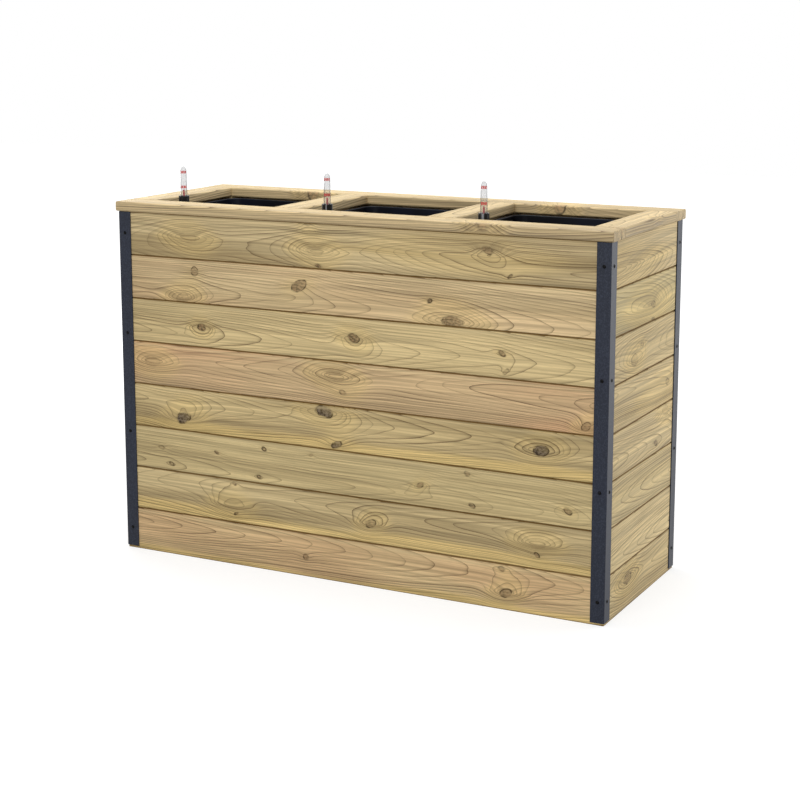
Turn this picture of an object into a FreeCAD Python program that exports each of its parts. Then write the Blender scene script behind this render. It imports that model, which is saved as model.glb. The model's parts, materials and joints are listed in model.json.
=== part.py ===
import FreeCAD, Part
import math
import os
import re

import Sketcher

# A long wooden planter with three self-watering liners. Millimetres, +Z up, X along the
# planter. The origin is on the floor under the planter's centre, and the front faces -Y.

BOARD_ROWS = 8
COMPARTMENTS = ("left", "middle", "right")
SCREWS_PER_LEG = 4
SLATS_PER_LINER = 2
COLLAR_RIBS = 12
PLATE_SLOTS = 12
BASKET_SLOTS = 6
FOOT_NOTCHES = 4

# Two heights or lengths nearer than this are the same one, in millimetres.
SAME = 0.001

# Driving sizes, each a cell of the sheet.
SIZES = {
    # Walls: length and depth are outside the boards.
    "body_length": 1136.0,
    "body_depth": 416.0,
    "board_face": 95.0,
    "board_thickness": 20.0,
    "joint_chamfer": 2.5,
    "tongue_thickness": 6.0,
    "tongue_height": 7.0,
    "groove_play": 0.4,
    # Steel corner angles and their screws.
    "angle_leg": 30.0,
    "angle_thickness": 2.0,
    "angle_round": 1.0,
    "angle_top_gap": 1.0,
    "angle_foot_gap": 5.0,
    "screw_end_margin": 47.5,
    "screw_setback": 15.0,
    "screw_head": 7.5,
    "screw_rise": 0.8,
    "screw_shank": 4.0,
    "screw_length": 12.0,
    "screw_play": 0.1,
    # Top frame.
    "frame_overhang": 5.0,
    "frame_thickness": 21.0,
    "rail_width": 65.0,
    "frame_round": 4.0,
    "rail_end_round": 2.0,
    # Battens and slats that carry the liners.
    "ledger_height": 38.0,
    "slat_thickness": 18.0,
    "slat_width": 90.0,
    "slat_pitch": 160.0,
    "slat_play": 1.0,
    # Liners: depth over all, from the floor's underside to the rim.
    "liner_play": 3.0,
    "liner_drop": 2.0,
    "liner_depth": 300.0,
    "liner_wall": 3.0,
    "liner_floor": 4.0,
    "liner_taper": 8.0,
    "liner_corner": 31.0,
    "rim_width": 4.0,
    "rim_height": 8.0,
    "rim_chamfer": 1.2,
    # Reservoir plate with its wick basket.
    "reservoir_height": 70.0,
    "plate_thickness": 3.0,
    "plate_play": 1.5,
    "leg_diameter": 18.0,
    "leg_inset": 19.5,
    "basket_top": 92.0,
    "basket_bottom": 64.0,
    "basket_wall": 2.5,
    "basket_slot_width": 6.0,
    "basket_slot_margin": 14.0,
    "plate_slot_width": 5.0,
    "plate_slot_length": 34.0,
    "plate_slot_start": 60.0,
    # Water-level indicator: stand-pipe with collar, sight tube and float.
    "gauge_inset_side": 47.0,
    "gauge_inset_front": 35.0,
    "pipe_diameter": 20.0,
    "pipe_bore": 17.0,
    "pipe_hole_play": 0.5,
    "foot_notch_width": 6.0,
    "foot_notch_height": 12.0,
    "collar_diameter": 23.0,
    "collar_height": 22.0,
    "collar_rise": 8.0,
    "rib_cut_radius": 1.3,
    "seat_depth": 6.0,
    "seat_play": 0.15,
    "tube_foot": 17.8,
    "tube_foot_height": 7.0,
    "tube_base": 15.2,
    "tube_top": 13.6,
    "tube_wall": 1.2,
    "tube_straight": 57.0,
    "tube_shoulder": 5.5,
    "tube_cap": 8.0,
    "tube_cap_rise": 2.5,
    "float_diameter": 15.0,
    "float_height": 45.0,
    "float_chamfer": 2.0,
    "float_clearance": 0.3,
    "rod_diameter": 4.0,
    "pointer_rise": 14.0,
}

# Sizes that follow from the driving ones, written as formulas.
WALL_HEIGHT = f"(board_face * {BOARD_ROWS})"
SCREW_PITCH = f"(({WALL_HEIGHT} - 2 * screw_end_margin) / {SCREWS_PER_LEG - 1})"
FRAME_LENGTH = "(body_length + 2 * angle_thickness + 2 * frame_overhang)"
FRAME_DEPTH = "(body_depth + 2 * angle_thickness + 2 * frame_overhang)"
OPENING_PITCH = f"(({FRAME_LENGTH} - rail_width) / {len(COMPARTMENTS)})"
OPENING_LENGTH = f"({OPENING_PITCH} - rail_width)"
OPENING_DEPTH = f"({FRAME_DEPTH} - 2 * rail_width)"
INNER_LENGTH = "(body_length - 2 * board_thickness)"
INNER_DEPTH = "(body_depth - 2 * board_thickness)"
# The corner battens come flush with the inner edges of the frame above them.
BATTEN_WIDTH = "(rail_width - frame_overhang - angle_thickness - board_thickness)"

RIM_HALF_X = f"({OPENING_LENGTH} / 2 - liner_play)"
RIM_HALF_Y = f"({OPENING_DEPTH} / 2 - liner_play)"
LINER_BASE = f"({WALL_HEIGHT} - liner_drop - liner_depth)"
LEDGER_TOP = f"({LINER_BASE} - slat_thickness)"
# How far the tapered wall has come out again at the height of the reservoir plate.
PLATE_GAIN = "(liner_taper * reservoir_height / (liner_depth - liner_floor))"
PLATE_INSET = f"(rim_width + liner_taper + liner_wall + plate_play - {PLATE_GAIN})"
PLATE_BASE = "(liner_floor + reservoir_height)"
COLLAR_TOP = "(liner_depth + liner_drop + frame_thickness + collar_rise)"
GAUGE_X = f"(gauge_inset_side - {OPENING_LENGTH} / 2)"
GAUGE_Y = f"(gauge_inset_front - {OPENING_DEPTH} / 2)"

doc = FreeCAD.newDocument("planter")
sheet = doc.addObject("Spreadsheet::Sheet", "Dims")


def fill_sheet():
    """One row of the sheet for each driving size: its name and its number."""
    for row, (name, value) in enumerate(SIZES.items(), start=1):
        sheet.set(f"A{row}", name)
        sheet.set(f"B{row}", f"{value:g}")
        sheet.setAlias(f"B{row}", name)
    doc.recompute()


def cells(formula):
    """The formula with each size's name turned into a reference to its cell."""
    return re.sub(r"[a-z_]+", lambda word: "Dims." + word[0] if word[0] in SIZES else word[0], formula)


def bind(thing, prop, formula):
    """Tie one property to a formula of sizes."""
    thing.setExpression(prop, cells(formula))


def place(thing, x="0", y="0", z="0", turn=0.0):
    """Put a piece at a point given by formulas, turned about +Z by some degrees."""
    thing.Placement = FreeCAD.Placement(FreeCAD.Vector(), FreeCAD.Rotation(FreeCAD.Vector(0, 0, 1), turn))
    for axis, formula in zip("xyz", (x, y, z)):
        bind(thing, f"Placement.Base.{axis}", formula)


def new_body(label):
    body = doc.addObject("PartDesign::Body", label)
    body.Label = label
    return body


def new_sketch(body, plane, offset=None):
    """A sketch on one of the body's own planes, raised off it where an offset is given."""
    sketch = body.newObject("Sketcher::SketchObject", "sketch")
    support = next(f for f in body.Origin.OriginFeatures if f.Role == plane)
    sketch.AttachmentSupport = [(support, "")]
    sketch.MapMode = "FlatFace"
    if offset is not None:
        bind(sketch, "AttachmentOffset.Base.z", offset)
    return sketch


def tie_distance(sketch, kind, geometry, end, formula):
    """Hold one end of a piece of sketch geometry at a distance from the sketch's origin."""
    value = float(sketch.evalExpression(cells(formula)))
    index = sketch.addConstraint(Sketcher.Constraint(kind, -1, 1, geometry, end, value))
    bind(sketch, f"Constraints[{index}]", formula)


def arc_between(start, end, radius):
    """The short anticlockwise arc from start to end."""
    chord = end - start
    left = FreeCAD.Vector(-chord.y, chord.x, 0).normalize()
    rise = math.sqrt(max(radius**2 - (chord.Length / 2) ** 2, 0.0))
    centre = (start + end) * 0.5 + left * rise
    first, last = (math.atan2(point.y - centre.y, point.x - centre.x) for point in (start, end))
    ring = Part.Circle(centre, FreeCAD.Vector(0, 0, 1), radius)
    return Part.ArcOfCircle(ring, first, last if last > first else last + 2 * math.pi)


def outline(sketch, corners):
    """Draw a closed outline, anticlockwise. A corner is (x, y) where a line follows it, and
    (x, y, radius) where an arc does."""
    points = [
        FreeCAD.Vector(*(float(sketch.evalExpression(cells(formula))) for formula in corner[:2]), 0)
        for corner in corners
    ]
    for index, corner in enumerate(corners):
        start, end = points[index], points[(index + 1) % len(points)]
        if len(corner) == 2:
            sketch.addGeometry(Part.LineSegment(start, end), False)
            continue
        radius = float(sketch.evalExpression(cells(corner[2])))
        arc = sketch.addGeometry(arc_between(start, end, radius), False)
        held = sketch.addConstraint(Sketcher.Constraint("Radius", arc, radius))
        bind(sketch, f"Constraints[{held}]", corner[2])
    for index, corner in enumerate(corners):
        following = (index + 1) % len(corners)
        sketch.addConstraint(Sketcher.Constraint("Coincident", index, 2, following, 1))
        tie_distance(sketch, "DistanceX", index, 1, corner[0])
        tie_distance(sketch, "DistanceY", index, 1, corner[1])


def rounded_rectangle(half_x, half_y, radius):
    """The corners of a rectangle about the origin with rounded corners."""
    corners = []
    for sign_x, sign_y in ((1, -1), (1, 1), (-1, 1), (-1, -1)):
        by_side = (f"{sign_x} * {half_x}", f"{sign_y} * ({half_y} - {radius})")
        by_end = (f"{sign_x} * ({half_x} - {radius})", f"{sign_y} * {half_y}")
        first, last = (by_end, by_side) if sign_x * sign_y < 0 else (by_side, by_end)
        corners.append((*first, radius))
        corners.append(last)
    return corners


def rectangle(low_x, low_y, high_x, high_y):
    return [(low_x, low_y), (high_x, low_y), (high_x, high_y), (low_x, high_y)]


def cap_radius(width, rise):
    """The radius of a round cap that spans a width and stands proud by a rise."""
    return f"(({width} / 2) ^ 2 + {rise} ^ 2) / (2 * {rise})"


def circle(sketch, x, y, diameter):
    """A full circle held at a point given by formulas."""
    value = float(sketch.evalExpression(cells(diameter)))
    centre = FreeCAD.Vector(*(float(sketch.evalExpression(cells(formula))) for formula in (x, y)), 0)
    ring = Part.Circle(centre, FreeCAD.Vector(0, 0, 1), value / 2)
    geometry = sketch.addGeometry(ring, False)
    held = sketch.addConstraint(Sketcher.Constraint("Diameter", geometry, value))
    bind(sketch, f"Constraints[{held}]", diameter)
    tie_distance(sketch, "DistanceX", geometry, 3, x)
    tie_distance(sketch, "DistanceY", geometry, 3, y)


def extrude(body, kind, sketch, length=None, both_ways=False, downward=False):
    """A pad, or a pocket, of a sketch. A pocket with no length goes through everything."""
    feature = body.newObject(f"PartDesign::{kind}", kind.lower())
    feature.Profile = sketch
    feature.Midplane = both_ways
    feature.Reversed = downward
    if length is None:
        feature.Type = "ThroughAll"
    else:
        bind(feature, "Length", length)
    return feature


def spin(body, kind, sketch):
    """A full revolution, or groove, of a profile about the sketch's upright axis."""
    feature = body.newObject(f"PartDesign::{kind}", kind.lower())
    feature.Profile = sketch
    feature.ReferenceAxis = (sketch, ["V_Axis"])
    feature.Angle = 360
    return feature


def ring_pattern(body, original, count):
    """Repeat a cut evenly about the body's upright axis."""
    pattern = body.newObject("PartDesign::PolarPattern", "ring")
    pattern.Originals = [original]
    upright = next(f for f in body.Origin.OriginFeatures if f.Role == "Z_Axis")
    pattern.Axis = (upright, [""])
    pattern.Angle = 360
    pattern.Occurrences = count
    body.Tip = pattern
    return pattern


def box(label, length, width, height, x, y, z):
    """A sawn length of timber, placed by the centre of its footprint and by its underside."""
    timber = doc.addObject("Part::Box", label)
    for prop, formula in (("Length", length), ("Width", width), ("Height", height)):
        bind(timber, prop, formula)
    place(timber, f"{x} - {length} / 2", f"{y} - {width} / 2", z)
    return timber


def group(label, pieces):
    """One named part made of several separate solids."""
    compound = doc.addObject("Part::Compound", label)
    compound.Label = label
    compound.Links = pieces
    return compound


def cut(label, base, tool):
    """The base with the tool's shape taken out of it, under the base's own name."""
    result = doc.addObject("Part::Cut", f"{label}_cut")
    base.Label = f"{label}_blank"
    result.Label = label
    result.Base = base
    result.Tool = tool
    return result


# Screws


def screw_blank():
    """A raised countersunk screw, its axis upright, with the angle's outer face at z = 0."""
    body = new_body("screw_blank")
    sketch = new_sketch(body, "XZ_Plane")
    tip = "(screw_shank / 2 - screw_length)"
    outline(sketch, [
        ("0", "-screw_length"),
        ("screw_shank / 2", tip),
        ("screw_shank / 2", "-angle_thickness"),
        ("screw_head / 2", "0", cap_radius("screw_head", "screw_rise")),
        ("0", "screw_rise"),
    ])
    spin(body, "Revolution", sketch)
    return body


def bore_blank():
    """The hole that one screw needs, with its countersink open to the outside."""
    body = new_body("bore_blank")
    sketch = new_sketch(body, "XZ_Plane")
    depth = "-(screw_length + screw_play)"
    outline(sketch, [
        ("0", depth),
        ("screw_shank / 2 + screw_play", depth),
        ("screw_shank / 2 + screw_play", "-angle_thickness"),
        ("screw_head / 2 + screw_play", "0"),
        ("screw_head / 2 + screw_play", "screw_rise"),
        ("0", "screw_rise"),
    ])
    spin(body, "Revolution", sketch)
    return body


def screw_seats():
    """Where the screws go: (x, y, z) formulas and the direction that each head faces."""
    corner_x = "(body_length / 2 + angle_thickness)"
    corner_y = "(body_depth / 2 + angle_thickness)"
    for sign_x in (-1, 1):
        for sign_y in (-1, 1):
            for level in range(SCREWS_PER_LEG):
                height = f"screw_end_margin + {level} * {SCREW_PITCH}"
                inset_x = f"{sign_x} * ({corner_x} - screw_setback)"
                inset_y = f"{sign_y} * ({corner_y} - screw_setback)"
                yield inset_x, f"{sign_y} * {corner_y}", height, FreeCAD.Vector(0, sign_y, 0)
                yield f"{sign_x} * {corner_x}", inset_y, height, FreeCAD.Vector(sign_x, 0, 0)


def at_screw_seats(label, blank):
    """A copy of the blank at every screw seat, as one group."""
    copies = []
    for x, y, z, facing in screw_seats():
        copy = doc.addObject("App::Link", f"{label}_copy")
        copy.LinkedObject = blank
        place(copy, x, y, z)
        copy.Placement.Rotation = FreeCAD.Rotation(FreeCAD.Vector(0, 0, 1), facing)
        copies.append(copy)
    return group(label, copies)


# Walls


def board_profile(row):
    """A board's section: across it from the outer face at 0, and up it from its lower edge.
    The lowest board has no groove and the highest no tongue."""
    half_tongue = "tongue_thickness / 2"
    middle = "board_thickness / 2"
    lower = [("0", "0"), ("board_thickness", "0")]
    upper = [("board_thickness", "board_face"), ("0", "board_face")]
    closing = []
    if row > 0:
        groove_low = f"{middle} - {half_tongue} - groove_play"
        groove_high = f"{middle} + {half_tongue} + groove_play"
        groove_top = "tongue_height + groove_play"
        lower = [("joint_chamfer", "0"), (groove_low, "0"), (groove_low, groove_top)]
        lower += [(groove_high, groove_top), (groove_high, "0"), ("board_thickness", "0")]
        closing = [("0", "joint_chamfer")]
    if row < BOARD_ROWS - 1:
        tongue_top = "board_face + tongue_height"
        near, far = f"{middle} + {half_tongue}", f"{middle} - {half_tongue}"
        upper = [("board_thickness", "board_face"), (near, "board_face"), (near, tongue_top)]
        upper += [(far, tongue_top), (far, "board_face"), ("joint_chamfer", "board_face")]
        upper += [("0", "board_face - joint_chamfer")]
    return lower + upper + closing


def board(label, row, length, x, y, turn):
    """One wall board, its outer face through (x, y) and turned to face out of its wall."""
    body = new_body(label)
    sketch = new_sketch(body, "YZ_Plane")
    outline(sketch, board_profile(row))
    extrude(body, "Pad", sketch, length, both_ways=True)
    place(body, x, y, f"{row} * board_face", turn)
    return body


def walls(bores):
    """Front and back boards run the full length and are drilled for the angles' screws.
    End boards fit between them."""
    parts = []
    for row in range(BOARD_ROWS):
        for wall, y, turn in (("front", "-body_depth / 2", 0), ("back", "body_depth / 2", 180)):
            label = f"{wall}_board_{row + 1}"
            parts.append(cut(label, board(label, row, "body_length", "0", y, turn), bores))
        for wall, x, turn in (("left", "-body_length / 2", -90), ("right", "body_length / 2", 90)):
            parts.append(board(f"{wall}_board_{row + 1}", row, INNER_DEPTH, x, "0", turn))
    return parts


def corner_angles(bores):
    """Four rolled steel angles round the outside corners, stopping short of frame and floor."""
    parts = []
    corners = (("front_left", -1, -1, 0), ("front_right", 1, -1, 90))
    corners += (("back_right", 1, 1, 180), ("back_left", -1, 1, 270))
    for name, sign_x, sign_y, turn in corners:
        label = f"{name}_angle"
        body = new_body(label)
        sketch = new_sketch(body, "XY_Plane")
        outline(sketch, [
            ("angle_round", "0"),
            ("angle_leg", "0"),
            ("angle_leg", "angle_thickness"),
            ("angle_thickness", "angle_thickness"),
            ("angle_thickness", "angle_leg"),
            ("0", "angle_leg"),
            ("0", "angle_round", "angle_round"),
        ])
        extrude(body, "Pad", sketch, f"{WALL_HEIGHT} - angle_top_gap - angle_foot_gap")
        x = f"{sign_x} * (body_length / 2 + angle_thickness)"
        y = f"{sign_y} * (body_depth / 2 + angle_thickness)"
        place(body, x, y, "angle_foot_gap", turn)
        parts.append(cut(label, body, bores))
    return parts


# Top frame


def rail(label, length, x, y, turn, round_ends=False):
    """A planed rail with rounded edges, lying on the walls. Ends that show are eased too."""
    body = new_body(label)
    sketch = new_sketch(body, "YZ_Plane")
    outline(sketch, rounded_rectangle("rail_width / 2", "frame_thickness / 2", "frame_round"))
    pad = extrude(body, "Pad", sketch, length, both_ways=True)
    if round_ends:
        doc.recompute()
        reach = pad.Shape.BoundBox.XMax
        edges = pad.Shape.Edges
        at_ends = [f"Edge{n}" for n, edge in enumerate(edges, start=1)
                   if abs(abs(edge.CenterOfMass.x) - reach) < SAME]
        eased = body.newObject("PartDesign::Fillet", "eased_ends")
        eased.Base = (pad, at_ends)
        bind(eased, "Radius", "rail_end_round")
    place(body, x, y, f"{WALL_HEIGHT} + frame_thickness / 2", turn)
    return body


def top_frame():
    """Front and back rails at full length, with end rails and cross bars butted between them."""
    long_y = f"({FRAME_DEPTH} - rail_width) / 2"
    parts = [
        rail("front_rail", FRAME_LENGTH, "0", f"-{long_y}", 0, round_ends=True),
        rail("back_rail", FRAME_LENGTH, "0", long_y, 0, round_ends=True),
    ]
    names = ("left_end_rail", "left_cross_bar", "right_cross_bar", "right_end_rail")
    for index, name in enumerate(names):
        x = f"({index} - {len(COMPARTMENTS)} / 2) * {OPENING_PITCH}"
        parts.append(rail(name, OPENING_DEPTH, x, "0", 90))
    return parts


# Inner timber


def inner_battens():
    """A batten up each corner, and a ledger along each long wall between them."""
    pieces = []
    corner_x = f"({INNER_LENGTH} / 2 - {BATTEN_WIDTH} / 2)"
    corner_y = f"({INNER_DEPTH} / 2 - {BATTEN_WIDTH} / 2)"
    for sign_x in (-1, 1):
        for sign_y in (-1, 1):
            x, y = f"{sign_x} * {corner_x}", f"{sign_y} * {corner_y}"
            pieces.append(box("corner_batten", BATTEN_WIDTH, BATTEN_WIDTH, WALL_HEIGHT, x, y, "0"))
    ledger_length = f"({INNER_LENGTH} - 2 * {BATTEN_WIDTH})"
    for sign_y in (-1, 1):
        z = f"{LEDGER_TOP} - ledger_height"
        y = f"{sign_y} * {corner_y}"
        pieces.append(box("ledger", ledger_length, BATTEN_WIDTH, "ledger_height", "0", y, z))
    return group("inner_battens", pieces)


def compartment_x(index):
    return f"({index} - {(len(COMPARTMENTS) - 1) / 2:g}) * {OPENING_PITCH}"


def shelf_slats():
    """Slats laid across the ledgers, a few under each liner."""
    pieces = []
    length = f"({INNER_DEPTH} - 2 * slat_play)"
    for index in range(len(COMPARTMENTS)):
        for slat in range(SLATS_PER_LINER):
            x = f"({compartment_x(index)} + ({slat} - {(SLATS_PER_LINER - 1) / 2:g}) * slat_pitch)"
            pieces.append(box("slat", "slat_width", length, "slat_thickness", x, "0", LEDGER_TOP))
    return group("shelf_slats", pieces)


# Liners and what stands in them, each built about the liner's centre with its underside at z = 0


def in_compartment(body, index):
    place(body, compartment_x(index), "0", LINER_BASE)
    return body


def loft(body, kind, sections):
    """A ruled loft, added or taken away, through sketches."""
    feature = body.newObject(f"PartDesign::{kind}Loft", kind.lower())
    feature.Profile = sections[0]
    feature.Sections = sections[1:]
    feature.Ruled = True
    return feature


def liner_section(body, inset, height):
    """A rounded rectangle parallel to the rim's outside, some way in from it, at some height."""
    sketch = new_sketch(body, "XY_Plane", height)
    half_x, half_y = f"({RIM_HALF_X} - ({inset}))", f"({RIM_HALF_Y} - ({inset}))"
    outline(sketch, rounded_rectangle(half_x, half_y, f"(liner_corner - ({inset}))"))
    return sketch


def liner(index):
    """A moulded tub that tapers downwards, with a thicker rim."""
    body = new_body(f"{COMPARTMENTS[index]}_liner")
    foot = liner_section(body, "rim_width + liner_taper", "0")
    shoulder = liner_section(body, "rim_width", "liner_depth")
    loft(body, "Additive", [foot, shoulder])
    rim = liner_section(body, "0", "liner_depth - rim_height")
    rim_pad = extrude(body, "Pad", rim, "rim_height")
    inside_low = liner_section(body, "rim_width + liner_taper + liner_wall", "liner_floor")
    inside_high = liner_section(body, "rim_width + liner_wall", "liner_depth")
    hollow = loft(body, "Subtractive", [inside_low, inside_high])
    doc.recompute()
    top = rim_pad.Shape.BoundBox.ZMax
    edges = hollow.Shape.Edges
    lip = [f"Edge{n}" for n, edge in enumerate(edges, start=1)
           if edge.BoundBox.ZMin > top - SAME and abs(edge.CenterOfMass.z - top) < SAME]
    eased = body.newObject("PartDesign::Chamfer", "eased_rim")
    eased.Base = (hollow, lip)
    bind(eased, "Size", "rim_chamfer")
    return in_compartment(body, index)


def plate_legs(body):
    """Four stout legs at the middles of the plate's sides, down to the tub's floor."""
    legs = new_sketch(body, "XY_Plane", PLATE_BASE)
    reach_x, reach_y = (f"({half} - {PLATE_INSET} - leg_inset)" for half in (RIM_HALF_X, RIM_HALF_Y))
    for x, y in ((reach_x, "0"), (f"-{reach_x}", "0"), ("0", reach_y), ("0", f"-{reach_y}")):
        circle(legs, x, y, "leg_diameter")
    extrude(body, "Pad", legs, "reservoir_height", downward=True)


def plate_basket(body):
    """The wick basket: a tapered cup through the plate, slotted to let water in."""
    cup = new_sketch(body, "XZ_Plane")
    outline(cup, [
        ("0", "liner_floor"),
        ("basket_bottom / 2", "liner_floor"),
        ("basket_top / 2", PLATE_BASE),
        ("0", PLATE_BASE),
    ])
    spin(body, "Revolution", cup)
    hollow = new_sketch(body, "XZ_Plane")
    plate_top = f"({PLATE_BASE} + plate_thickness)"
    outline(hollow, [
        ("0", "liner_floor + basket_wall"),
        ("basket_bottom / 2 - basket_wall", "liner_floor + basket_wall"),
        ("basket_top / 2 - basket_wall", PLATE_BASE),
        ("basket_top / 2 - basket_wall", plate_top),
        ("0", plate_top),
    ])
    spin(body, "Groove", hollow)
    slot = new_sketch(body, "XZ_Plane")
    low, high = "liner_floor + basket_slot_margin", f"{PLATE_BASE} - basket_slot_margin"
    outline(slot, rectangle("-basket_slot_width / 2", low, "basket_slot_width / 2", high))
    opening = extrude(body, "Pocket", slot, "basket_top / 2")
    ring_pattern(body, opening, BASKET_SLOTS)


def reservoir_plate(index):
    """The false floor above the water: a slotted plate on legs with a wick basket."""
    body = new_body(f"{COMPARTMENTS[index]}_reservoir_plate")
    extrude(body, "Pad", liner_section(body, PLATE_INSET, PLATE_BASE), "plate_thickness")
    plate_legs(body)
    plate_basket(body)
    slot = new_sketch(body, "XY_Plane", PLATE_BASE)
    far = "plate_slot_start + plate_slot_length"
    half = "plate_slot_width / 2"
    # Turned half a step from the legs, so that the slots pass between them.
    outline(slot, rectangle("plate_slot_start", f"-{half}", far, half))
    slot.AttachmentOffset = FreeCAD.Placement(
        slot.AttachmentOffset.Base, FreeCAD.Rotation(FreeCAD.Vector(0, 0, 1), 180 / PLATE_SLOTS))
    opening = extrude(body, "Pocket", slot, "plate_thickness", downward=True)
    ring_pattern(body, opening, PLATE_SLOTS)
    hole = new_sketch(body, "XY_Plane", PLATE_BASE)
    circle(hole, GAUGE_X, GAUGE_Y, "pipe_diameter + 2 * pipe_hole_play")
    extrude(body, "Pocket", hole, "plate_thickness", downward=True)
    return in_compartment(body, index)


def at_gauge(body, index):
    place(body, f"{compartment_x(index)} + {GAUGE_X}", GAUGE_Y, LINER_BASE)
    return body


def indicator_pipe(index):
    """The stand-pipe: notched at the foot for water, with a ribbed collar that holds the tube."""
    body = new_body(f"{COMPARTMENTS[index]}_indicator_pipe")
    sketch = new_sketch(body, "XZ_Plane")
    seat = "tube_foot / 2 + seat_play"
    collar_base = f"{COLLAR_TOP} - collar_height"
    outline(sketch, [
        ("pipe_bore / 2", "liner_floor"),
        ("pipe_diameter / 2", "liner_floor"),
        ("pipe_diameter / 2", collar_base),
        ("collar_diameter / 2", collar_base),
        ("collar_diameter / 2", COLLAR_TOP),
        (seat, COLLAR_TOP),
        (seat, f"{COLLAR_TOP} - seat_depth"),
        ("pipe_bore / 2", f"{COLLAR_TOP} - seat_depth"),
    ])
    spin(body, "Revolution", sketch)
    notch = new_sketch(body, "XZ_Plane")
    outline(notch, rectangle("-foot_notch_width / 2", "liner_floor", "foot_notch_width / 2",
                             "liner_floor + foot_notch_height"))
    water_way = extrude(body, "Pocket", notch, "pipe_diameter")
    ring_pattern(body, water_way, FOOT_NOTCHES)
    rib = new_sketch(body, "XY_Plane", COLLAR_TOP)
    circle(rib, "collar_diameter / 2 + rib_cut_radius / 2", "0", "2 * rib_cut_radius")
    valley = extrude(body, "Pocket", rib, "collar_height")
    ring_pattern(body, valley, COLLAR_RIBS)
    return at_gauge(body, index)


def sight_tube(index):
    """The clear tube: a foot that sits in the collar, a slight taper and a rounded nose."""
    body = new_body(f"{COMPARTMENTS[index]}_sight_tube")
    sketch = new_sketch(body, "XZ_Plane")
    seat = f"({COLLAR_TOP} - seat_depth)"
    foot_top = f"{seat} + tube_foot_height"
    nose = f"({COLLAR_TOP} + tube_straight)"
    cap_base = f"{nose} + tube_shoulder"
    outline(sketch, [
        ("tube_base / 2 - tube_wall", seat),
        ("tube_foot / 2", seat),
        ("tube_foot / 2", foot_top),
        ("tube_base / 2", foot_top),
        ("tube_top / 2", nose),
        ("tube_cap / 2", cap_base, cap_radius("tube_cap", "tube_cap_rise")),
        ("0", f"{cap_base} + tube_cap_rise"),
        ("0", cap_base),
        ("tube_cap / 2 - tube_wall", cap_base),
        ("tube_top / 2 - tube_wall", nose),
    ])
    spin(body, "Revolution", sketch)
    return at_gauge(body, index)


def water_float(index):
    """The float at its empty stop, with the rod whose red end shows in the tube."""
    body = new_body(f"{COMPARTMENTS[index]}_float")
    sketch = new_sketch(body, "XZ_Plane")
    base = "(liner_floor + float_clearance)"
    top = f"({base} + float_height)"
    pointer = f"({COLLAR_TOP} + pointer_rise)"
    outline(sketch, [
        ("0", base),
        ("float_diameter / 2 - float_chamfer", base),
        ("float_diameter / 2", f"{base} + float_chamfer"),
        ("float_diameter / 2", f"{top} - float_chamfer"),
        ("float_diameter / 2 - float_chamfer", top),
        ("rod_diameter / 2", top),
        ("rod_diameter / 2", f"{pointer} - rod_diameter / 2", "rod_diameter / 2"),
        ("0", pointer),
    ])
    spin(body, "Revolution", sketch)
    return at_gauge(body, index)


def build():
    """Every sub-part of the planter, in the order in which it would be put together."""
    fill_sheet()
    bores = at_screw_seats("screw_bores", bore_blank())
    parts = walls(bores)
    parts += corner_angles(bores)
    parts.append(at_screw_seats("angle_screws", screw_blank()))
    parts += top_frame()
    parts.append(inner_battens())
    parts.append(shelf_slats())
    for index in range(len(COMPARTMENTS)):
        for make in (liner, reservoir_plate, indicator_pipe, sight_tube, water_float):
            parts.append(make(index))
    doc.recompute()
    return parts


def check(parts):
    """Stop if any object of the document failed, or a part is empty or not a valid shape."""
    for thing in doc.Objects:
        if {"Invalid", "Error"} & set(thing.State):
            raise RuntimeError(f"{thing.Label} failed: {thing.State}")
    for part in parts:
        if part.Shape.isNull() or not part.Shape.isValid() or not part.Shape.Solids:
            raise RuntimeError(f"{part.Label} is not a valid solid")


def write(parts):
    os.makedirs("parts", exist_ok=True)
    for part in parts:
        part.Shape.exportStep(f"parts/{part.Label}.step")
        print(part.Label, len(part.Shape.Solids), "solid(s),", round(part.Shape.Volume / 1000), "cm3")


planter = build()
check(planter)
write(planter)
print(len(planter), "parts")
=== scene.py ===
# %% [markdown]
# # A long pine planter with three self-watering liners
# The real planter is a box of tongue-and-groove pine boards with steel corners and a flat frame on
# top. Three black liners stand inside, each with a water gauge. The CAD model gives every piece its
# true size and place, so this lesson keeps those solids and gives them their looks. Only two kinds
# of small piece are modelled here: screws with a cross in their heads, and the marks on the gauges.

# %% Load the frame
import json
import math
import random

import bmesh
import bpy
from mathutils import Matrix, Vector

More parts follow.
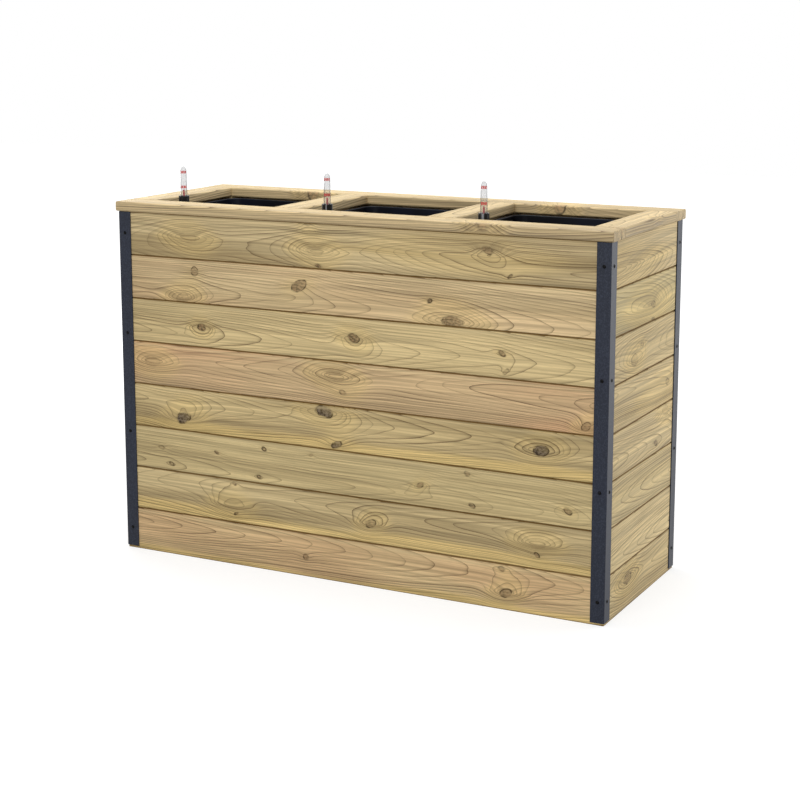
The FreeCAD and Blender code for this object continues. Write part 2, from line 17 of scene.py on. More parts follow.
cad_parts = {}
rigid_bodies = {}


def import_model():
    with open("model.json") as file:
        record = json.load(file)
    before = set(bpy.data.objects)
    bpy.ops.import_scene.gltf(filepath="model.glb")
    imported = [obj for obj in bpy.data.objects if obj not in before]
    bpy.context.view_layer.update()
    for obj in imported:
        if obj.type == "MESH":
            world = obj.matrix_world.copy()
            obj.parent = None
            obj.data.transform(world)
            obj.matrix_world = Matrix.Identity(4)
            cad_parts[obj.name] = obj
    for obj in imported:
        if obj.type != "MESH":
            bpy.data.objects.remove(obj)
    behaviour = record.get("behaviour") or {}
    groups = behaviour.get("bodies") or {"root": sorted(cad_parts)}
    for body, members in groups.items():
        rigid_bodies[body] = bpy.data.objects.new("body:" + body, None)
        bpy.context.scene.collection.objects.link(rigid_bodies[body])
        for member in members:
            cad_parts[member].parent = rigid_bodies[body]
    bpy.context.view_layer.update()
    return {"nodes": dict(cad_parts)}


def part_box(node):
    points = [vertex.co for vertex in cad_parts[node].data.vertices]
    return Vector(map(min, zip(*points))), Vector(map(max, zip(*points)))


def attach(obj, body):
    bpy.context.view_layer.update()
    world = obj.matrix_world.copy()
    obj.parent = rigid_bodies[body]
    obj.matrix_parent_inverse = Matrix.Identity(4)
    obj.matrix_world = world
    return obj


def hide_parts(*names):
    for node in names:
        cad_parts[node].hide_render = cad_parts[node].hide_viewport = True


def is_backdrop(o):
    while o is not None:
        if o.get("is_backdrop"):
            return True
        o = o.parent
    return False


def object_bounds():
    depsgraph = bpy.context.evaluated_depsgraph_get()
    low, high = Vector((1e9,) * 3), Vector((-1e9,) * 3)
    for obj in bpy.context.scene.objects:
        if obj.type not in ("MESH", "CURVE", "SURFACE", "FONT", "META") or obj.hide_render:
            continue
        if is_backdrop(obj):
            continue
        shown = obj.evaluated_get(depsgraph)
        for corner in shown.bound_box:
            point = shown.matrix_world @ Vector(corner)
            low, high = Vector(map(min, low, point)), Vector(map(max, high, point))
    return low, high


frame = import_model()
nodes = frame["nodes"]

# %% [markdown]
# The picture is taken from the right-hand front corner, a little above the planter, with a long
# lens. Level verticals could come from a strong lens shift, but that would push the planter out of
# every other view, so most of the framing comes from tilting the camera and only a little from shift.

# %% Camera
CAMERA_PLACE = (1.718, -3.305, 1.195)
CAMERA_TURN = 27.31
CAMERA_TILT = 10.10
SENSOR_WIDTH = 36.0
FOCAL_LENGTH = 78.84
LENS_SHIFT = -0.10
lens = bpy.data.cameras.new("photographer")
lens.sensor_width = SENSOR_WIDTH
lens.lens = FOCAL_LENGTH
lens.shift_y = LENS_SHIFT
camera = bpy.data.objects.new("photographer", lens)
camera.location = CAMERA_PLACE
camera.rotation_euler = (math.radians(90 - CAMERA_TILT), 0, math.radians(CAMERA_TURN))
scene = bpy.context.scene
scene.collection.objects.link(camera)
scene.camera = camera
scene.view_settings.view_transform = "Standard"
print("camera at", CAMERA_PLACE, "lens", FOCAL_LENGTH, "mm")

# %% [markdown]
# A finish is a tree of shader nodes. It could be wired by hand in the shader editor, but a script is
# easier to read and to change. A few small helpers keep it short: they make a node, feed a socket
# with a link or a plain value, and do sums with numbers and vectors.

# %% Node helpers


def node(tree, kind, **settings):
    """Add a shader node and choose its settings, such as its operation."""
    made = tree.nodes.new("ShaderNode" + kind)
    for name, value in settings.items():
        setattr(made, name, value)
    return made


def feed(tree, socket, value):
    """A socket takes another node's output, or else a number, vector or colour."""
    if isinstance(value, bpy.types.NodeSocket):
        tree.links.new(value, socket)
    else:
        socket.default_value = value


def fill(tree, made, *values):
    """Feed a node's sockets in their order, and return what it puts out."""
    for socket, value in zip(made.inputs, values):
        feed(tree, socket, value)
    return made.outputs


def calc(tree, operation, *values):
    """A sum with numbers."""
    return fill(tree, node(tree, "Math", operation=operation), *values)[0]


def vector_calc(tree, operation, *values):
    """A sum with vectors. A length or a dot product is a number."""
    results = fill(tree, node(tree, "VectorMath", operation=operation), *values)
    return results["Value" if operation in ("DOT_PRODUCT", "LENGTH") else "Vector"]


def between(tree, share, low, high):
    """Stretch a share of 0 to 1 so that it runs from low to high."""
    return calc(tree, "MULTIPLY_ADD", share, high - low, low)


node_helpers = (node, feed, fill, calc, vector_calc, between)
print("node helpers:", ", ".join(helper.__name__ for helper in node_helpers))

# %% [markdown]
# The photograph has a white ground. A white room would light the planter evenly from all sides and
# leave the wood flat. So the room is white only to rays that see it, straight on, in a reflection or
# through a clear wall, and half as bright to those that gather light for a surface.

# %% Room
ROOM_LIGHT = 0.50
WHITE = (1.0, 1.0, 1.0, 1.0)


def seen_rays(tree):
    """1 for rays that see what they hit, and 0 for rays that only gather its light."""
    ray = node(tree, "LightPath").outputs
    seen = calc(tree, "MAXIMUM", ray["Is Camera Ray"], ray["Is Glossy Ray"])
    return calc(tree, "MAXIMUM", seen, ray["Is Transmission Ray"])


world = bpy.data.worlds.new("studio")
scene.world = world
world.use_nodes = True
room = world.node_tree
backdrop = room.nodes["Background"]
feed(room, backdrop.inputs["Strength"], between(room, seen_rays(room), ROOM_LIGHT, 1.0))
backdrop.inputs["Color"].default_value = WHITE
print("room light:", ROOM_LIGHT)

# %% [markdown]
# Four softboxes model the wood: a large one above the front, one low behind the right end, which also
# shows in the steel, one overhead for the frame and one behind on the left. Square area lamps give
# the broad, soft shading of a studio, where a sun or a point lamp would cut hard shadows.

# %% Lamps


def softbox(name, place, aim, size, watts):
    """A square area lamp, turned towards its aim and hidden from the camera."""
    lamp = bpy.data.lights.new(name, "AREA")
    lamp.shape = "SQUARE"
    lamp.size = size
    lamp.energy = watts
    holder = bpy.data.objects.new(name, lamp)
    holder.location = place
    holder.rotation_euler = (Vector(aim) - Vector(place)).to_track_quat("-Z", "Y").to_euler()
    holder.visible_camera = False
    scene.collection.objects.link(holder)


softbox("front_softbox", place=(0.3, -3.4, 2.2), aim=(0.0, 0.0, 0.4), size=2.0, watts=56)
softbox("side_softbox", place=(2.6, 1.8, 0.8), aim=(0.5, 0.0, 0.4), size=1.6, watts=38)
softbox("top_softbox", place=(-0.2, 0.3, 3.0), aim=(0.0, 0.0, 0.7), size=1.8, watts=43)
softbox("left_softbox", place=(-2.8, 1.5, 1.3), aim=(-0.4, 0.0, 0.4), size=1.8, watts=30)
print("lamps:", len(bpy.data.lights))

# %% [markdown]
# The floor could be a plain white sheet, but under soft lamps that turns grey and shows a horizon.
# Here a grey sheet takes up the planter's faint shadow, and a glow that only seen rays meet lifts it
# towards white, fully so further out, where it runs into the white room.

# %% Floor finish
FLOOR_GREY = (0.4, 0.4, 0.4, 1.0)
FLOOR_GLOW = 0.68
GLOW_REACH = (1.0, 3.0)


def new_material(name):
    """A material, with its node tree and its Principled shader."""
    material = bpy.data.materials.new(name)
    material.use_nodes = True
    return material, material.node_tree, material.node_tree.nodes["Principled BSDF"]


def surface(tree, shader, colour, roughness, gloss):
    """What every finish sets: its colour, how rough it is and how strongly it reflects."""
    feed(tree, shader.inputs["Base Color"], colour)
    feed(tree, shader.inputs["Roughness"], roughness)
    shader.inputs["Specular IOR Level"].default_value = gloss


def object_place(tree):
    """Where a point lies on its object, in metres."""
    return node(tree, "TexCoord").outputs["Object"]


def step(tree, value, low, high):
    """A smooth step from 0 at low to 1 at high. Low may be the larger, for a step down."""
    made = node(tree, "MapRange", interpolation_type="SMOOTHSTEP")
    ends = (1.0, 0.0) if low > high else (0.0, 1.0)
    return fill(tree, made, value, min(low, high), max(low, high), *ends)["Result"]


floor_white, tree, shader = new_material("floor_white")
surface(tree, shader, FLOOR_GREY, roughness=0.9, gloss=0.0)
shader.inputs["Emission Color"].default_value = WHITE
seen = seen_rays(tree)
from_middle = vector_calc(tree, "LENGTH", object_place(tree))
glow = between(tree, step(tree, from_middle, *GLOW_REACH), FLOOR_GLOW, 1.0)
feed(tree, shader.inputs["Emission Strength"], calc(tree, "MULTIPLY", seen, glow))
print("floor glow near the planter:", FLOOR_GLOW)

# %% [markdown]
# The sheet itself is one flat grid, wide enough to fill the picture from every side. A grid from a
# bmesh operator is simpler than a scaled plane, because its object stays at the origin and unscaled.

# %% Floor
FLOOR_HALF = 9.0


def add_piece(name, form, material):
    """Make an object of a bmesh, with its place in its mesh and one material."""
    mesh = bpy.data.meshes.new(name)
    form.to_mesh(mesh)
    form.free()
    mesh.materials.append(material)
    piece = bpy.data.objects.new(name, mesh)
    scene.collection.objects.link(piece)
    return piece


form = bmesh.new()
bmesh.ops.create_grid(form, x_segments=2, y_segments=2, size=FLOOR_HALF)
floor = add_piece("studio_floor", form, floor_white)
floor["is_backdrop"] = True
print("floor:", 2 * FLOOR_HALF, "m wide")

# %% [markdown]
# A knot is where a branch was. On the face of a board it shows as a dark oval, and the growth rings
# bend round it. A painted image could hold that, but a node group can be placed anywhere and in any
# size. It first measures how far a point is from the knot's middle, in half lengths, half widths and
# half depths of the knot, and a tilt shears the oval so that it leans.

# %% Knot group


def new_group(name, inputs, outputs):
    """A shader node group with named sockets. Returns it with its inner ends."""
    group = bpy.data.node_groups.new(name, "ShaderNodeTree")
    for label, kind in inputs:
        group.interface.new_socket(label, in_out="INPUT", socket_type="NodeSocket" + kind)
    for label, kind in outputs:
        group.interface.new_socket(label, in_out="OUTPUT", socket_type="NodeSocket" + kind)
    return group, group.nodes.new("NodeGroupInput").outputs, group.nodes.new("NodeGroupOutput").inputs


def split(tree, vector):
    """The three parts of a vector."""
    return fill(tree, node(tree, "SeparateXYZ"), vector)


def join(tree, x, y, z):
    """A vector made of three parts."""
    return fill(tree, node(tree, "CombineXYZ"), x, y, z)[0]


knot_group, taken, given = new_group(
    "knot",
    [("Grain", "Vector"), ("Centre", "Vector"), ("Half Length", "Float"), ("Half Width", "Float"),
     ("Half Depth", "Float"), ("Tilt", "Float"), ("Dark", "Float"), ("Hill", "Float"),
     ("Lift So Far", "Float"), ("Slope So Far", "Vector"), ("Core So Far", "Float"),
     ("Rim So Far", "Float")],
    [("Lift", "Float"), ("Slope", "Vector"), ("Core", "Float"), ("Rim", "Float")])
tree = knot_group
away = split(tree, vector_calc(tree, "SUBTRACT", taken["Grain"], taken["Centre"]))
sheared = calc(tree, "MULTIPLY_ADD", away["Y"], taken["Tilt"], away["X"])
along = calc(tree, "DIVIDE", sheared, taken["Half Length"])
across = calc(tree, "DIVIDE", away["Y"], taken["Half Width"])
within = calc(tree, "DIVIDE", away["Z"], taken["Half Depth"])
print("knot group, place:", len(tree.nodes), "nodes")

# %% [markdown]
# Round a knot the rings are counted as if a small hill stood there. The hill takes a few rings off
# the count, so the ring lines close round the knot by themselves. It is stretched along the grain and
# falls off to both sides. Its slope is handed on too, because the width of the ring lines depends on
# how fast the count changes.

# %% Knot hill
HILL_LENGTH = 3.2
HILL_DEPTH = 2.0
HILL_FALL = 0.48
HILL_ROUND = 0.1
hill_top = HILL_FALL * math.sqrt(HILL_ROUND)
hill_along = calc(tree, "DIVIDE", along, HILL_LENGTH)
spread = join(tree, hill_along, calc(tree, "DIVIDE", within, HILL_DEPTH), 0.0)
spread = vector_calc(tree, "DOT_PRODUCT", spread, spread)
sideways = calc(tree, "SQRT", calc(tree, "MULTIPLY_ADD", across, across, HILL_ROUND))
fall = calc(tree, "MULTIPLY_ADD", sideways, HILL_FALL, spread)
hill = calc(tree, "EXPONENT", calc(tree, "SUBTRACT", hill_top, fall))
hill = calc(tree, "MULTIPLY", hill, taken["Hill"])
feed(tree, given["Lift"], calc(tree, "ADD", hill, taken["Lift So Far"]))
along_scale = calc(tree, "MULTIPLY", taken["Half Length"], -HILL_LENGTH ** 2 / 2)
slope_along = calc(tree, "MULTIPLY", hill, calc(tree, "DIVIDE", along, along_scale))
across_scale = calc(tree, "MULTIPLY", taken["Half Width"], -1 / HILL_FALL)
slope_across = calc(tree, "DIVIDE", across, calc(tree, "MULTIPLY", sideways, across_scale))
slope_across = calc(tree, "MULTIPLY", hill, slope_across)
slope_across = calc(tree, "MULTIPLY_ADD", slope_along, taken["Tilt"], slope_across)
slope = join(tree, slope_along, slope_across, 0.0)
feed(tree, given["Slope"], vector_calc(tree, "ADD", slope, taken["Slope So Far"]))
print("knot group with hill:", len(tree.nodes), "nodes")

# %% [markdown]
# The heart of a knot is dark wood with an uneven edge, a little darker on one side. A soft halo of
# the same tone runs out along the grain. A sharp oval would look stamped on, so noise moves its edge.
# An entry that isn't dark has no heart and only bends the lines, as a branch below the face does.

# %% Knot heart
HEART_GRAIN = (55, 55, 40)
HEART_EDGE = (1.0, 0.84)
HEART_SHADE = -0.12
HALO_LENGTH = 3.4
HALO_NARROW = 1.1
HALO_DARK = 0.3


def cloud(tree, vector, stretch, detail=2.0, coarse=0.5):
    """Soft noise from 0 to 1, with so many cycles per metre along each axis."""
    made = node(tree, "TexNoise", noise_dimensions="3D")
    feed(tree, made.inputs["Vector"], vector_calc(tree, "MULTIPLY", vector, stretch))
    made.inputs["Scale"].default_value = 1.0
    made.inputs["Detail"].default_value = detail
    made.inputs["Roughness"].default_value = coarse
    return made.outputs["Fac"]


def bell(tree, square):
    """A bell curve over the square of a distance: 1 in the middle, and soon nothing further out."""
    return calc(tree, "EXPONENT", calc(tree, "MULTIPLY", square, -1.0))


wobble = between(tree, cloud(tree, taken["Grain"], HEART_GRAIN), 0.8, 1.2)
span = calc(tree, "MULTIPLY", vector_calc(tree, "LENGTH", join(tree, along, across, within)), wobble)
shade = calc(tree, "MULTIPLY_ADD", calc(tree, "ADD", along, across), HEART_SHADE, 0.9)
shade = calc(tree, "MULTIPLY", shade, taken["Dark"])
core = calc(tree, "MULTIPLY", step(tree, span, *HEART_EDGE), shade)
halo_along = calc(tree, "DIVIDE", along, HALO_LENGTH)
halo = join(tree, halo_along, calc(tree, "MULTIPLY", across, HALO_NARROW), within)
halo = bell(tree, vector_calc(tree, "DOT_PRODUCT", halo, halo))
halo = calc(tree, "MULTIPLY", halo, calc(tree, "MULTIPLY", taken["Dark"], HALO_DARK))
core = calc(tree, "MAXIMUM", core, halo)
feed(tree, given["Core"], calc(tree, "MAXIMUM", core, taken["Core So Far"]))
print("knot group with heart:", len(tree.nodes), "nodes")

# %% [markdown]
# A thin line of bark is left round a knot. It is a bell curve across the knot's edge, as wide round a
# small knot as round a large one, and noise breaks it up, because bark falls out in places. Pale
# knots grew into the wood and have only a trace of it.

# %% Knot rim
BARK_WIDTH = 0.0013
BARK_GRAIN = (60, 80, 40)
outside = calc(tree, "MULTIPLY", calc(tree, "SUBTRACT", span, 1.0), taken["Half Width"])
outside = calc(tree, "DIVIDE", outside, BARK_WIDTH)
rim = bell(tree, calc(tree, "MULTIPLY", outside, outside))
rim = calc(tree, "MULTIPLY", rim, step(tree, taken["Dark"], -0.05, 0.6))
bark = step(tree, cloud(tree, taken["Grain"], BARK_GRAIN, 1.0), 0.42, 0.60)
rim = calc(tree, "MULTIPLY", rim, between(tree, bark, 0.3, 1.0))
feed(tree, given["Rim"], calc(tree, "MAXIMUM", rim, taken["Rim So Far"]))
print("knot group with rim:", len(tree.nodes), "nodes")

# %% [markdown]
# A board is cut from a log whose rings are cones round the pith. If the pith runs a little behind the
# face and not quite along it, the rings come out as long arches. A wave texture would give straight
# lines only, so here the rings are counted: the distance from the pith divided by the ring's width,
# less what the knots take off. Two noises bend the log and ripple its rings, and a third makes the
# rings uneven.

# %% Growth-ring group
RING_MASKS = ("Late", "Line", "Fibre", "Streak", "Patch")
DRIFT_GRAIN = (1.6, 3.0, 3.0)
DRIFT_METRES = 0.05
RIPPLE_GRAIN = (3.2, 24.0, 24.0)
RIPPLE_RINGS = 1.5
UNEVEN_PACE = 0.55
UNEVEN_RINGS = 0.9


def alike(tree, value):
    """The same value on all three axes, which is also a grey."""
    return join(tree, value, value, value)


rings_group, taken, given = new_group(
    "growth_rings",
    [("Grain", "Vector"), ("Pith Across", "Float"), ("Pith Depth", "Float"), ("Lean", "Float"),
     ("Rise", "Float"), ("Ring Width", "Float"), ("Lift", "Float"), ("Slope", "Vector"),
     ("Seed", "Float")],
    [(mask, "Float") for mask in RING_MASKS])
tree = rings_group
own = vector_calc(tree, "ADD", taken["Grain"], alike(tree, taken["Seed"]))
along, across, depth = split(tree, taken["Grain"])
drift = calc(tree, "SUBTRACT", cloud(tree, own, DRIFT_GRAIN, 1.0), 0.5)
ripple = calc(tree, "SUBTRACT", cloud(tree, own, RIPPLE_GRAIN, 2.0), 0.5)
from_across = calc(tree, "SUBTRACT", across, taken["Pith Across"])
from_across = calc(tree, "SUBTRACT", from_across, calc(tree, "MULTIPLY", taken["Lean"], along))
from_across = calc(tree, "MULTIPLY_ADD", drift, DRIFT_METRES, from_across)
from_depth = calc(tree, "SUBTRACT", depth, taken["Pith Depth"])
from_depth = calc(tree, "SUBTRACT", from_depth, calc(tree, "MULTIPLY", taken["Rise"], along))
reach = vector_calc(tree, "LENGTH", join(tree, from_across, from_depth, 0.0))
count = calc(tree, "SUBTRACT", calc(tree, "DIVIDE", reach, taken["Ring Width"]), taken["Lift"])
count = calc(tree, "MULTIPLY_ADD", ripple, RIPPLE_RINGS, count)
uneven = node(tree, "TexNoise", noise_dimensions="1D")
feed(tree, uneven.inputs["W"], calc(tree, "MULTIPLY_ADD", count, UNEVEN_PACE, taken["Seed"]))
uneven.inputs["Scale"].default_value = 1.0
count = calc(tree, "MULTIPLY_ADD", uneven.outputs["Fac"], UNEVEN_RINGS, count)
print("growth-ring group, count:", len(tree.nodes), "nodes")

# %% [markdown]
# The dark late wood is the end of each ring: a line that swells and then stops at once. How fast the
# count changes over the face is worked out from the pith and the knots, so that the line is as wide
# where the rings are cut flat as where they are cut steeply. Each ring has its own weight, and the
# lines fade here and there.

# %% Late wood
LINE_WIDTH = 0.0019
FEWEST_RINGS = 24.0
FADE_GRAIN = (5.0, 24.0, 24.0)
slope_along = calc(tree, "MULTIPLY", from_depth, taken["Rise"])
slope_along = calc(tree, "MULTIPLY_ADD", from_across, taken["Lean"], slope_along)
slope = join(tree, calc(tree, "MULTIPLY", slope_along, -1.0), from_across, 0.0)
slope = vector_calc(tree, "DIVIDE", slope, calc(tree, "MULTIPLY", reach, taken["Ring Width"]))
rings_per_metre = vector_calc(tree, "LENGTH", vector_calc(tree, "SUBTRACT", slope, taken["Slope"]))
rings_per_metre = calc(tree, "MAXIMUM", rings_per_metre, FEWEST_RINGS)
line_share = calc(tree, "MULTIPLY", rings_per_metre, LINE_WIDTH)
before_end = calc(tree, "SUBTRACT", calc(tree, "FRACT", count), 1.0)
late = calc(tree, "EXPONENT", calc(tree, "DIVIDE", before_end, line_share))
weight = node(tree, "TexWhiteNoise", noise_dimensions="1D")
feed(tree, weight.inputs["W"], calc(tree, "ADD", calc(tree, "FLOOR", count), taken["Seed"]))
late = calc(tree, "MULTIPLY", late, between(tree, weight.outputs["Value"], 0.5, 1.0))
fade = step(tree, cloud(tree, own, FADE_GRAIN, 1.0), 0.3, 0.62)
feed(tree, given["Late"], calc(tree, "MULTIPLY", late, between(tree, fade, 0.6, 1.0)))
print("growth-ring group with late wood:", len(tree.nodes), "nodes")

# %% [markdown]
# Between the rings, planed pine shows fine lines and still finer fibres along the grain. They are
# noise, stretched along the board and pushed aside by the knots, with short dark dashes where resin
# canals are cut open. Broad streaks and patches carry the changes of tone along a board.

# %% Fibres and streaks
PUSH_PER_RING = 0.0035
LINE_GRAIN = (2.6, 110.0, 110.0)
FIBRE_GRAIN = (2.4, 270.0, 270.0)
CANAL_GRAIN = (40.0, 260.0, 260.0)
STREAK_GRAIN = (1.0, 22.0, 12.0)
PATCH_GRAIN = (2.2, 9.0, 9.0)
aside = join(tree, 0.0, calc(tree, "MULTIPLY", taken["Lift"], PUSH_PER_RING), 0.0)
bent = vector_calc(tree, "ADD", own, aside)
feed(tree, given["Line"], step(tree, cloud(tree, bent, LINE_GRAIN, 4.0, 0.65), 0.3, 0.7))
no_canal = step(tree, cloud(tree, own, CANAL_GRAIN, 1.0), 0.64, 0.56)
fibre = step(tree, cloud(tree, bent, FIBRE_GRAIN, 1.0), 0.3, 0.7)
feed(tree, given["Fibre"], calc(tree, "MULTIPLY", fibre, between(tree, no_canal, 0.75, 1.0)))
feed(tree, given["Streak"], step(tree, cloud(tree, own, STREAK_GRAIN, 2.0), 0.40, 0.62))
feed(tree, given["Patch"], step(tree, cloud(tree, own, PATCH_GRAIN, 1.0), 0.35, 0.7))
print("growth-ring group, all:", len(tree.nodes), "nodes")

# %% [markdown]
# Wood gets its colour from tones laid over each other. They could be typed as linear values, but those
# are hard to picture. So a tone is named by the values that a screen shows, and turned into the
# shader's linear values by the screen's curve.

# %% Tones


def paint(red, green, blue):
    """A colour named by screen values from 0 to 255, as the linear values that shaders take."""
    shares = [value / 255 for value in (red, green, blue)]
    return (*(((v + 0.055) / 1.055) ** 2.4 if v > 0.04 else v / 12.92 for v in shares), 1.0)


def tint(tree, factor, first, second, mode="MIX"):
    """Lay the second colour over the first by a factor."""
    made = node(tree, "Mix", data_type="RGBA", blend_type=mode)
    feed(tree, made.inputs["Factor"], factor)
    colours = [socket for socket in made.inputs if socket.type == "RGBA"]
    feed(tree, colours[0], first)
    feed(tree, colours[1], second)
    return next(socket for socket in made.outputs if socket.type == "RGBA")


def lay(tree, colour, tone, mask, weight):
    """Lay a tone over a colour where a mask says, and as thickly as the weight says."""
    return tint(tree, calc(tree, "MULTIPLY", mask, weight), colour, tone)


print("screen grey 128 in linear light:", round(paint(128, 128, 128)[0], 4))

# %% [markdown]
# The pressure-treated pine is straw yellow with olive streaks, and some boards blush pink where the
# heartwood shows. Pale sapwood runs along some lower edges and round the knots. The group lays these
# tones over the board's own colour, then the late wood, and shades it all by its lines and fibres.

# %% Pine colour group
STREAK_OLIVE = paint(150, 130, 92)
BLUSH_PINK = paint(196, 144, 108)
SAP_YELLOW = paint(230, 201, 134)
LATE_BROWN = paint(66, 44, 24)
SAP_WAVE = -0.012
SAP_FADE = (-0.006, 0.008)
pine_group, taken, given = new_group(
    "planed_pine",
    [("Grain", "Vector"), *((mask, "Float") for mask in RING_MASKS), ("Lift", "Float"),
     ("Core", "Float"), ("Rim", "Float"), ("Wood", "Color"), ("Knot Wood", "Color"),
     ("Streaky", "Float"), ("Blush", "Float"), ("Contrast", "Float"), ("Sap Edge", "Float"),
     ("Half Face", "Float")],
    [("Colour", "Color"), ("Height", "Float"), ("Roughness", "Float")])
tree = pine_group
across = split(tree, taken["Grain"])["Y"]
colour = lay(tree, taken["Wood"], STREAK_OLIVE, taken["Streak"], taken["Streaky"])
colour = lay(tree, colour, BLUSH_PINK, taken["Patch"], taken["Blush"])
below_sap = calc(tree, "SUBTRACT", taken["Sap Edge"], across)
below_sap = calc(tree, "MULTIPLY_ADD", taken["Patch"], SAP_WAVE, below_sap)
colour = lay(tree, colour, SAP_YELLOW, step(tree, below_sap, *SAP_FADE), 0.8)
colour = lay(tree, colour, SAP_YELLOW, step(tree, taken["Lift"], 0.3, 2.0), 0.3)
colour = lay(tree, colour, LATE_BROWN, taken["Late"], taken["Contrast"])
light = calc(tree, "MULTIPLY_ADD", taken["Line"], 0.28, 0.77)
light = calc(tree, "MULTIPLY_ADD", taken["Fibre"], 0.4, light)
colour = tint(tree, 1.0, colour, alike(tree, light), "MULTIPLY")
print("pine group, board:", len(tree.nodes), "nodes")

# %% [markdown]
# Knots are mottled and edged with bark. Each board has a pale band just below its upper edge, where
# the planed edge catches the light. The V of each joint is darkened by painted shade, a darker line
# than the groove's own shape gives. Late wood, fibres and bark stand a little proud of the softer wood.

# %% Knots and edges in the colour
RIM_BROWN = paint(52, 38, 24)
CORE_DARK = paint(46, 35, 26)
EDGE_PALE = paint(232, 209, 160)
GROOVE_SHADE_BROWN = paint(98, 68, 12)
MOTTLE_GRAIN = (160, 220, 160)
BAND_BELOW = (-0.013, -0.007)
BAND_ABOVE = (-0.003, -0.006)
GROOVE_EDGE = (-0.0026, -0.0010)
mottle = step(tree, cloud(tree, taken["Grain"], MOTTLE_GRAIN, 3.0), 0.38, 0.62)
knot_wood = tint(tree, mottle, CORE_DARK, taken["Knot Wood"])
colour = tint(tree, taken["Core"], colour, knot_wood)
colour = lay(tree, colour, RIM_BROWN, taken["Rim"], 0.95)
from_upper = calc(tree, "SUBTRACT", across, taken["Half Face"])
band = calc(tree, "MULTIPLY", step(tree, from_upper, *BAND_BELOW), step(tree, from_upper, *BAND_ABOVE))
colour = lay(tree, colour, EDGE_PALE, band, 0.3)
from_edge = calc(tree, "SUBTRACT", calc(tree, "ABSOLUTE", across), taken["Half Face"])
# Painted shade: the V of each joint is darkened in the colour.
colour = lay(tree, colour, GROOVE_SHADE_BROWN, step(tree, from_edge, *GROOVE_EDGE), 0.8)
feed(tree, given["Colour"], colour)
raised = calc(tree, "MULTIPLY_ADD", taken["Late"], 0.5, calc(tree, "MULTIPLY", taken["Fibre"], 0.4))
feed(tree, given["Height"], calc(tree, "MULTIPLY_ADD", taken["Rim"], 0.6, raised))
feed(tree, given["Roughness"], between(tree, taken["Fibre"], 0.56, 0.72))
print("pine group, all:", len(tree.nodes), "nodes")

# %% [markdown]
# A length of timber has its grain along one axis and its face on another. A Mapping node moves the
# origin to the middle of the face, and the axes are then put in the order along, across and inwards.
# So the grain goes right through the wood, and cut ends show end grain. An unwrapped image would stop
# at each edge.

# %% Grain axes
AXES = "XYZ"


def board_axes(tree, origin, order, inward):
    """Turn object coordinates into along, across and into the board, from the middle of its face."""
    place = node(tree, "Mapping", vector_type="TEXTURE")
    feed(tree, place.inputs["Vector"], object_place(tree))
    place.inputs["Location"].default_value = origin
    scale = [1.0, 1.0, 1.0]
    scale[AXES.index(order[2])] = inward
    place.inputs["Scale"].default_value = scale
    moved = split(tree, place.outputs["Vector"])
    return join(tree, *(moved[axis] for axis in order))


print("grain helper:", board_axes.__name__, "for the axes", AXES)

# %% [markdown]
# A board holds several knots. One group per knot could be mixed in at the end, but a chain is simpler:
# each knot adds to what the one before it left. Its lean follows from its place, so that no two knots
# of a board are alike.

# %% Knots in a board
MILLI = 0.001
KNOT_LEAN = -0.6


def use_group(tree, group, **values):
    """Place a group in a material. A value's name is its socket's, with _ for a space."""
    made = tree.nodes.new("ShaderNodeGroup")
    made.node_tree = group
    for name, value in values.items():
        feed(tree, made.inputs[name.replace("_", " ").title()], value)
    return made.outputs


def grow_knots(tree, grain, knots, depth):
    """Put knots in a length of timber. Returns what they lift, its slope, and their hearts and rims."""
    lift, slope, core, rim = 0.0, (0.0, 0.0, 0.0), 0.0, 0.0
    for along, across, length, width, dark, hill in knots:
        grown = use_group(tree, knot_group, grain=grain, centre=(along * MILLI, across * MILLI, 0.0),
                          half_length=length * MILLI, half_width=width * MILLI, half_depth=depth,
                          tilt=KNOT_LEAN * math.sin(along), dark=dark, hill=hill,
                          lift_so_far=lift, slope_so_far=slope, core_so_far=core, rim_so_far=rim)
        lift, slope, core, rim = (grown[label] for label in ("Lift", "Slope", "Core", "Rim"))
    return lift, slope, core, rim


print("knots lean by up to", round(math.degrees(math.atan(abs(KNOT_LEAN)))), "degrees")

# %% [markdown]
# One function turns the groups into the finish of one length of timber. Most lengths are plain pine,
# so their values have defaults, and a board or rail only names what is different about it: its tone,
# its pith, its knots. Grain is too fine to model, so a Bump node gives the relief.

# %% Pine finish
STRAW = (206, 184, 138)
PLAIN = {"wood": STRAW, "knot_wood": (142, 112, 80), "streaky": 0.35, "blush": 0.0, "contrast": 1.0,
         "sap_edge": -1.0, "half_face": 1.0, "pith_across": 0.0, "pith_depth": 0.05, "lean": 0.0,
         "rise": 0.03, "ring_width": 0.0036, "seed": 0.0, "knot_depth": 0.08, "gloss": 0.14, "knots": ()}
RING_VALUES = ("pith_across", "pith_depth", "lean", "rise", "ring_width", "seed")
PINE_VALUES = ("streaky", "blush", "contrast", "sap_edge", "half_face")
GRAIN_RELIEF = 0.0006


def emboss(tree, shader, height, strength, depth):
    """Let a height bend the light, as relief of that depth in metres would."""
    bump = node(tree, "Bump")
    bump.inputs["Strength"].default_value = strength
    bump.inputs["Distance"].default_value = depth
    feed(tree, bump.inputs["Height"], height)
    feed(tree, shader.inputs["Normal"], bump.outputs["Normal"])


